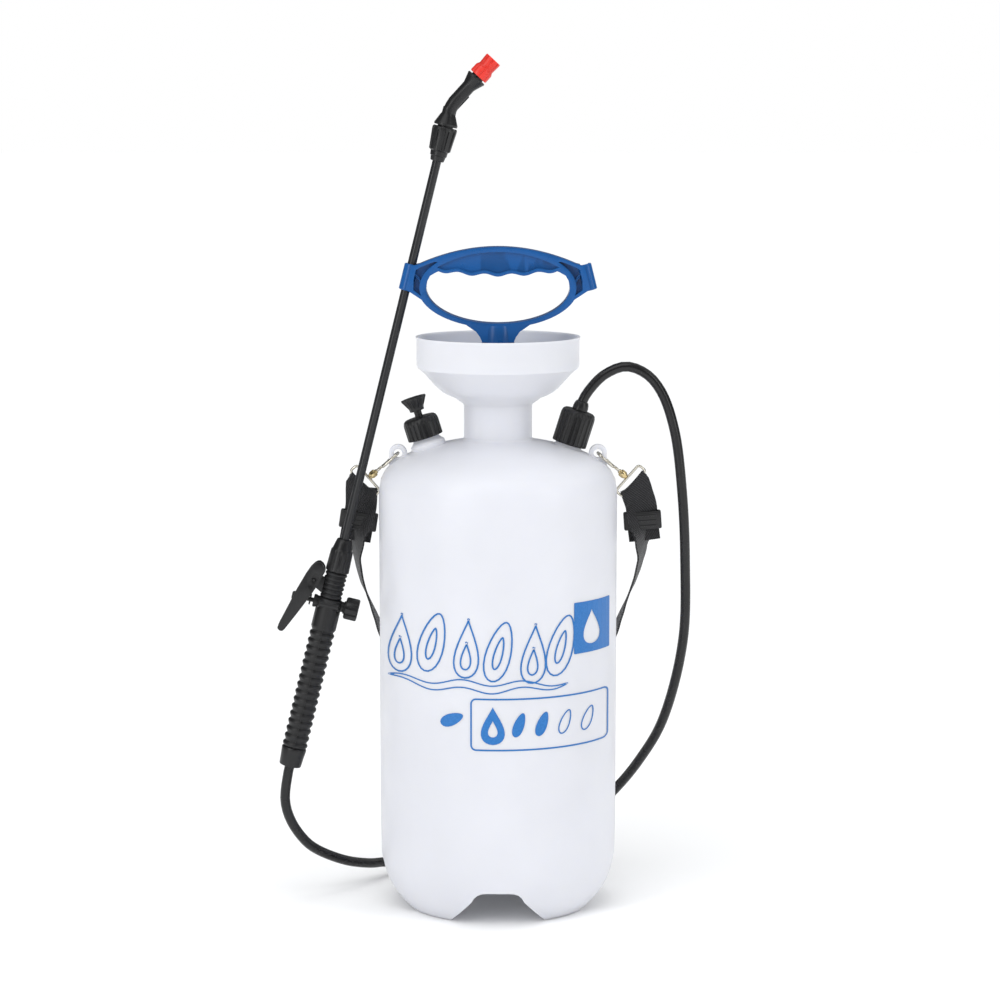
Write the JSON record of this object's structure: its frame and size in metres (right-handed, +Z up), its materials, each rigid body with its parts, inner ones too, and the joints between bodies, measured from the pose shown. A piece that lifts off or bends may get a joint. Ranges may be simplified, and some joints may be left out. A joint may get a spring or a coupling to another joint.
{
  "type": "pump sprayer",
  "caption": "Hand-pumped pressure sprayer: translucent tank with funnel, pull handle holding the spray lance, lever valve grip, hose and carrying strap.",
  "frame": {"origin": "centre of the bounding box of the object without its hose, on the floor under the feet", "axes": "+Z up along the tank's axis, +X to the outlet side, -Y to the printed front"},
  "size_m": [0.3309, 0.2086, 0.6783],
  "materials": {
    "tank_plastic": "translucent natural polyethylene, slightly waxy",
    "black_plastic": "moulded black plastic, soft sheen",
    "blue_plastic": "moulded blue plastic, semi-gloss",
    "red_plastic": "moulded red plastic",
    "grey_plastic": "moulded grey plastic",
    "lance_tube": "drawn dark tube, glossy",
    "rubber": "black seal rubber",
    "hose_rubber": "smooth black hose",
    "webbing": "woven black webbing",
    "nickel": "nickel-plated wire with brass-coloured swivel",
    "steel": "plain drawn wire and pin",
    "clear_plastic": "natural tube"
  },
  "bodies": {
    "tank": {"tank": "tank_plastic", "relief_gasket": "rubber", "relief_spring": "steel", "outlet_fitting": "black_plastic", "outlet_gasket": "rubber", "dip_tube": "clear_plastic", "dip_strainer": "black_plastic", "hose": "hose_rubber", "pump_head_gasket": "rubber", "strap": "webbing", "strap_slider_left": "black_plastic", "strap_slider_right": "black_plastic", "strap_ring_left": "nickel", "strap_ring_right": "nickel", "snap_hook_left": "nickel", "snap_hook_right": "nickel"},
    "relief_cap": {"relief_cap": "black_plastic"},
    "relief_knob": {"relief_knob": "black_plastic", "relief_seal": "rubber"},
    "outlet_nut": {"outlet_nut": "black_plastic"},
    "pump": {"pump_head": "black_plastic", "pump_barrel": "grey_plastic", "pump_check_valve": "rubber"},
    "plunger": {"handle": "blue_plastic", "piston_rod": "grey_plastic", "piston": "black_plastic", "piston_cup": "rubber"},
    "lance": {"lance_tube": "lance_tube", "lance_upper_seal": "rubber", "lance_lower_seal": "rubber", "grip_body": "black_plastic", "trigger_pin": "steel", "valve_spring": "steel"},
    "upper_nut": {"lance_upper_nut": "black_plastic"},
    "elbow": {"nozzle_elbow": "black_plastic", "nozzle_core": "grey_plastic", "nozzle_oring": "rubber"},
    "nozzle_cap": {"nozzle_cap": "red_plastic"},
    "lower_nut": {"lance_lower_nut": "black_plastic"},
    "end_nut": {"grip_end_nut": "black_plastic"},
    "trigger": {"trigger": "black_plastic"},
    "valve_stem": {"valve_stem": "steel", "valve_seal": "rubber"},
    "valve_cap": {"valve_cap": "black_plastic"},
    "gate_left": {"hook_gate_left": "nickel"},
    "gate_right": {"hook_gate_right": "nickel"}
  },
  "joints": [
    {"name": "pump_stroke", "type": "slide", "parent": "tank", "child": "plunger", "axis": [0, 0, 1], "range_m": [0, 0.15]},
    {"name": "pump_head_turn", "type": "hinge", "parent": "tank", "child": "pump", "pos_m": [0.02207, -0.00661, 0.41], "axis": [0, 0, 1], "continuous": true},
    {"name": "outlet_nut_turn", "type": "hinge", "parent": "tank", "child": "outlet_nut", "pos_m": [0.07857, -0.00661, 0.3716], "axis": [0.3007, 0, 0.9537], "continuous": true},
    {"name": "relief_cap_turn", "type": "hinge", "parent": "tank", "child": "relief_cap", "pos_m": [-0.03543, -0.00661, 0.3768], "axis": [-0.3007, 0, 0.9537], "continuous": true},
    {"name": "relief_pull", "type": "slide", "parent": "tank", "child": "relief_knob", "axis": [-0.3007, 0, 0.9537], "range_m": [0, 0.004], "stiffness_N_per_m": 600, "springref_m": -0.002, "deforming": ["relief_spring"]},
    {"name": "lance_turn", "type": "hinge", "parent": "plunger", "child": "lance", "pos_m": [-0.04833, -0.00961, 0.504], "axis": [0.2402, 0, 0.9707], "range_deg": [-120, 120]},
    {"name": "upper_nut_turn", "type": "hinge", "parent": "lance", "child": "upper_nut", "pos_m": [-0.04833, -0.00961, 0.504], "axis": [0.2402, 0, 0.9707], "continuous": true},
    {"name": "elbow_turn", "type": "hinge", "parent": "lance", "child": "elbow", "pos_m": [-0.04833, -0.00961, 0.504], "axis": [0.2402, 0, 0.9707], "continuous": true},
    {"name": "nozzle_adjust", "type": "hinge", "parent": "elbow", "child": "nozzle_cap", "pos_m": [-0.01532, -0.00961, 0.63738], "axis": [0.6807, 0, 0.7325], "range_deg": [0, 360]},
    {"name": "lower_nut_turn", "type": "hinge", "parent": "lance", "child": "lower_nut", "pos_m": [-0.04833, -0.00961, 0.504], "axis": [0.2402, 0, 0.9707], "continuous": true},
    {"name": "end_nut_turn", "type": "hinge", "parent": "lance", "child": "end_nut", "pos_m": [-0.04833, -0.00961, 0.504], "axis": [0.2402, 0, 0.9707], "continuous": true},
    {"name": "trigger_squeeze", "type": "hinge", "parent": "lance", "child": "trigger", "pos_m": [-0.12466, -0.00961, 0.26298], "axis": [0, -1, 0], "range_deg": [0, 12], "stiffness_Nm_per_rad": 0.6, "springref_deg": -5.73},
    {"name": "valve_lift", "type": "slide", "parent": "lance", "child": "valve_stem", "axis": [0.9707, 0, -0.2402], "range_m": [0, 0.0036], "deforming": ["valve_spring"]},
    {"name": "valve_cap_turn", "type": "hinge", "parent": "lance", "child": "valve_cap", "pos_m": [-0.11292, -0.00961, 0.24297], "axis": [0.9707, 0, -0.2402], "continuous": true},
    {"name": "gate_left_open", "type": "hinge", "parent": "tank", "child": "gate_left", "pos_m": [-0.07024, 0.0011, 0.35271], "axis": [0.6613, 0, -0.7501], "range_deg": [0, 20], "stiffness_Nm_per_rad": 0.03, "springref_deg": -5.73},
    {"name": "gate_right_open", "type": "hinge", "parent": "tank", "child": "gate_right", "pos_m": [0.11438, 0.0011, 0.35271], "axis": [0.6613, 0, 0.7501], "range_deg": [0, 20], "stiffness_Nm_per_rad": 0.03, "springref_deg": -5.73}
  ],
  "couplings": [
    {"joint": "valve_lift", "follows": "trigger_squeeze", "m_per_rad": 0.0166}
  ]
}
